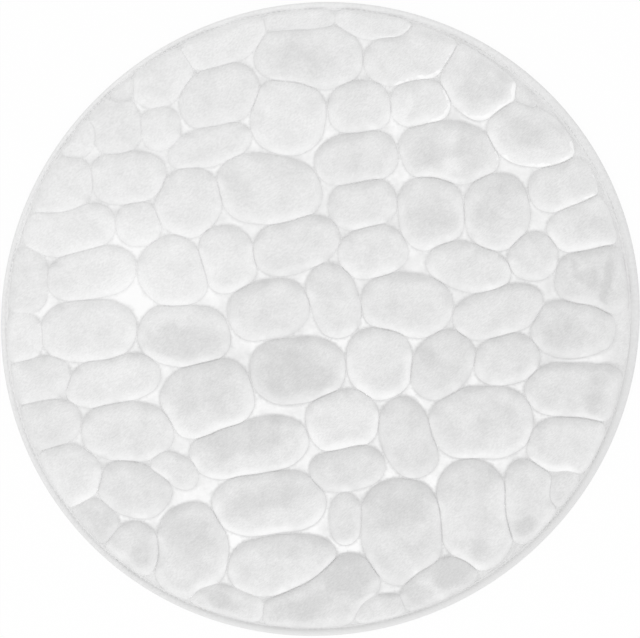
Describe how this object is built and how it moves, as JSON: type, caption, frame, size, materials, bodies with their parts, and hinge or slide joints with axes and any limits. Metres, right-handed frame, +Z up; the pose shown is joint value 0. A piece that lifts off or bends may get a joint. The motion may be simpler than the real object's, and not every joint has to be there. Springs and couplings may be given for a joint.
{
  "type": "bath mat",
  "caption": "Round soft bath mat: white plush cloth moulded over foam into a cobblestone pattern, with a sewn edge binding and a dotted non-slip underside.",
  "frame": {"origin": "on the floor, under the middle of the mat", "axes": "+Z up out of the plush side, +Y towards the top of the picture"},
  "size_m": [0.5999, 0.6, 0.016],
  "materials": {
    "plush": "short white plush pile, pressed smooth in the joints",
    "foam": "open-cell foam",
    "backing": "plain thin cloth",
    "grip": "matt rubbery coat",
    "binding": "soft brushed tape",
    "thread": "sewing thread"
  },
  "bodies": {
    "root": {"top_cover": "plush", "foam_core": "foam", "backing_cloth": "backing", "grip_coat": "grip", "edge_binding": "binding", "needle_stitches": "thread", "bobbin_stitches": "thread"}
  },
  "joints": []
}
